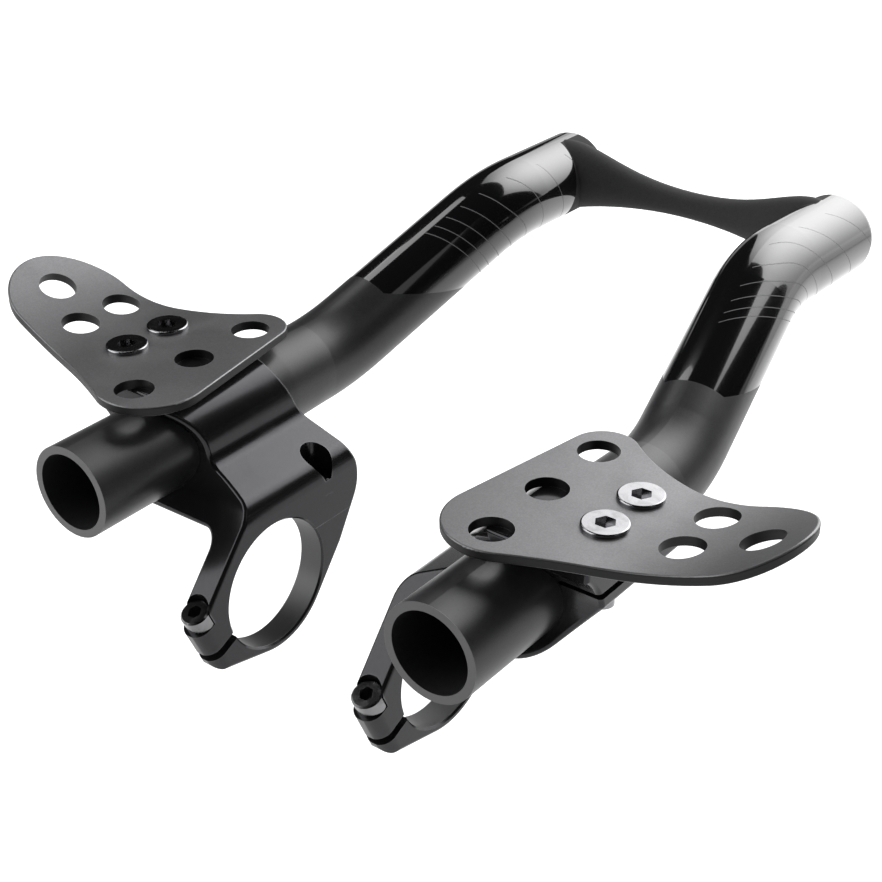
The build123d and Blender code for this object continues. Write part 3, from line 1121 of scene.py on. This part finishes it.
@dataclass
class Studio:
    """Pale floor, white surround, soft lamps and the camera.

    Attributes:
        floor_shown: the floor's own white in the picture, near the object and far away.
        floor_mirrored: the same as the object mirrors it.
        floor_pool: the distances where the near level ends and the far level starts.
        horizon: how bright the object mirrors the surround just above the floor.
        horizon_depth: the height, as a sine, where that has faded to the ceiling's level.
    """

    floor_drop: float = 60.0 * MM
    floor_size: float = 12.0
    floor_colour: Colour = (0.6, 0.6, 0.6)
    floor_roughness: float = 0.9
    floor_shown: Range = (0.75, 1.0)
    floor_mirrored: Range = (0.42, 0.12)
    floor_pool: Range = (0.25, 1.1)
    horizon: float = 0.4
    horizon_depth: float = 0.08
    ceiling: float = 0.01
    ambient: float = 0.3
    lamps: tuple[Softbox, ...] = (FRONT_SOFTBOX, LEFT_STRIP, RIGHT_STRIP, REAR_FILL)
    lamp_target: tuple[float, float, float] = (0.0, 110.0 * MM, 55.0 * MM)
    camera_azimuth: float = 37.804
    camera_elevation: float = 29.258
    camera_roll: float = -0.665
    camera_place: tuple[float, float, float] = (218.785 * MM, -246.801 * MM, 229.311 * MM)
    camera_near: float = 0.01
    focal_pixels: float = 1759.515
    picture_pixels: float = 882.0

    def floor_mesh(self) -> bpy.types.Mesh:
        """Makes the floor's one square face.

        Returns:
            The mesh.
        """
        half = self.floor_size / 2
        mesh = bpy.data.meshes.new("floor")
        corners = [(-half, -half, 0), (half, -half, 0), (half, half, 0), (-half, half, 0)]
        mesh.from_pydata(corners, [], [(0, 1, 2, 3)])
        return mesh

    def floor_paper(self) -> bpy.types.Material:
        """Makes the floor's material, which adds its own white in the picture and in gloss.

        Returns:
            The material.
        """
        material = bpy.data.materials.new("floor_paper")
        material.use_nodes = True
        material.cycles.emission_sampling = "NONE"
        sheet = NodeSheet(material.node_tree)
        shader = material.node_tree.nodes["Principled BSDF"]
        sheet.feed(shader.inputs["Base Color"], (*self.floor_colour, 1.0))
        sheet.feed(shader.inputs["Roughness"], self.floor_roughness)
        sheet.feed(shader.inputs["Specular IOR Level"], 0.0)
        sheet.feed(shader.inputs["Emission Color"], WHITE)
        seen = sheet.add("ShaderNodeLightPath")
        away = sheet.add("ShaderNodeVectorMath", operation="LENGTH")
        sheet.feed(away.inputs[0], sheet.row_place())
        strength = 0.0
        for ray, levels in (("Is Camera Ray", self.floor_shown), ("Is Glossy Ray", self.floor_mirrored)):
            level = sheet.span(away.outputs["Value"], self.floor_pool, levels)
            strength = sheet.math("MULTIPLY_ADD", seen.outputs[ray], level, strength)
        sheet.feed(shader.inputs["Emission Strength"], strength)
        return material

    def build_floor(self, low: Vector) -> None:
        """Lays the floor under the object.

        Args:
            low: the lowest corner of the object.
        """
        floor = bpy.data.objects.new("floor", self.floor_mesh())
        floor.location.z = low.z - self.floor_drop
        floor.data.materials.append(self.floor_paper())
        bpy.context.scene.collection.objects.link(floor)
        floor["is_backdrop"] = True
        LOG.info("laid floor")

    def build_world(self) -> None:
        """Makes the white surround, which darkens overhead in reflections."""
        world = bpy.data.worlds.new("studio")
        world.use_nodes = True
        world.cycles.sampling_method = "NONE"
        bpy.context.scene.world = world
        sheet = NodeSheet(world.node_tree)
        background = world.node_tree.nodes["Background"]
        sheet.feed(background.inputs["Color"], WHITE)
        seen = sheet.add("ShaderNodeLightPath").outputs
        direction = sheet.parts(sheet.add("ShaderNodeTexCoord").outputs["Generated"])
        wall = sheet.span(direction["Z"], (0.0, self.horizon_depth), (self.horizon, self.ceiling))
        plain = sheet.math("MAXIMUM", seen["Is Camera Ray"], seen["Is Transmission Ray"])
        shown = sheet.math("MAXIMUM", plain, sheet.math("MULTIPLY", seen["Is Glossy Ray"], wall))
        lit = sheet.math("MAXIMUM", plain, seen["Is Glossy Ray"])
        rest = sheet.math("MULTIPLY", sheet.math("SUBTRACT", 1.0, lit), self.ambient)
        sheet.feed(background.inputs["Strength"], sheet.math("ADD", shown, rest))
        LOG.info("made the white surround")

    def build_camera(self) -> None:
        """Places the camera as the picture was taken."""
        data = bpy.data.cameras.new("camera")
        data.sensor_fit = "HORIZONTAL"
        data.lens = self.focal_pixels / self.picture_pixels * data.sensor_width
        data.clip_start = self.camera_near
        camera = bpy.data.objects.new("camera", data)
        turn = math.radians(self.camera_azimuth)
        rise = math.radians(self.camera_elevation)
        back = Vector((math.sin(turn) * math.cos(rise), -math.cos(turn) * math.cos(rise), math.sin(rise)))
        level = back.to_track_quat("Z", "Y").to_matrix().to_4x4()
        roll = Matrix.Rotation(math.radians(self.camera_roll), 4, "Z")
        camera.matrix_world = Matrix.Translation(Vector(self.camera_place)) @ level @ roll
        bpy.context.scene.collection.objects.link(camera)
        bpy.context.scene.camera = camera
        LOG.info("placed camera")

    def build(self, low: Vector) -> None:
        """Builds the whole studio.

        Args:
            low: the lowest corner of the object.
        """
        bpy.context.scene.view_settings.view_transform = "Standard"
        self.build_floor(low)
        self.build_world()
        for lamp in self.lamps:
            lamp.build(Vector(self.lamp_target))
        self.build_camera()


def main() -> None:
    """Builds and dresses every piece in order, then the studio."""
    logging.basicConfig(level=logging.INFO, format="%(message)s")
    solid_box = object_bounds()
    EffectGroups().build()
    ExtensionBar().dress()
    for side in Side:
        bracket = ClampBracket(side)
        bracket.build_body()
        bracket.dress()
        Armrest(side).dress()
    Studio().build(solid_box[0])


if __name__ == "__main__":
    main()
